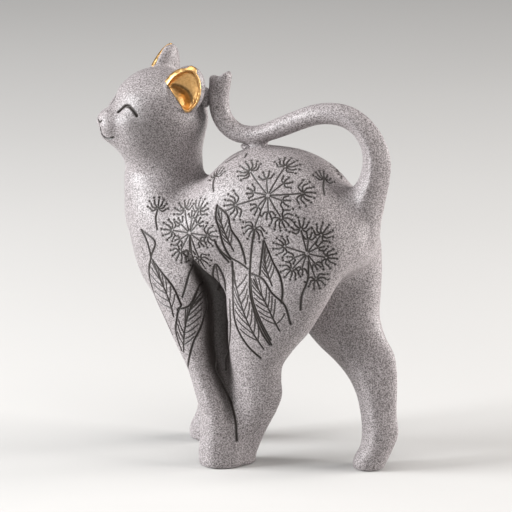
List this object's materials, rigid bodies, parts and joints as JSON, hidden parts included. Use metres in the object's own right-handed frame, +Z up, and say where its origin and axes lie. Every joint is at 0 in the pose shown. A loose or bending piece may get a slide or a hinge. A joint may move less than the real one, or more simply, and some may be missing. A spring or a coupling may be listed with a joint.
{
  "type": "cat figurine",
  "caption": "Small standing figurine of a walking cat with a tail looped over its back, cupped gilded ears and an engraved flank, for display on a shelf.",
  "frame": {"origin": "middle of the figurine's footprint, on the surface it stands on", "axes": "+Z up; the cat walks towards -X, and its left side, the engraved one, faces -Y"},
  "size_m": [0.1222, 0.0474, 0.1656],
  "materials": {
    "stone_cast": "satin mid-grey cast body with a fine dark and light speckle, and a dark wash in the engraved lines",
    "gold_leaf": "soft-gloss warm gold paint over the ears' hollows"
  },
  "bodies": {
    "root": {"torso": "stone_cast", "head_and_neck": "stone_cast", "left_ear": "stone_cast", "right_ear": "stone_cast", "left_ear_gilding": "gold_leaf", "right_ear_gilding": "gold_leaf", "tail": "stone_cast", "tail_saddle": "stone_cast", "tail_tip_bond": "stone_cast", "front_left_leg": "stone_cast", "front_right_leg": "stone_cast", "rear_left_leg": "stone_cast", "rear_right_leg": "stone_cast"}
  },
  "joints": []
}
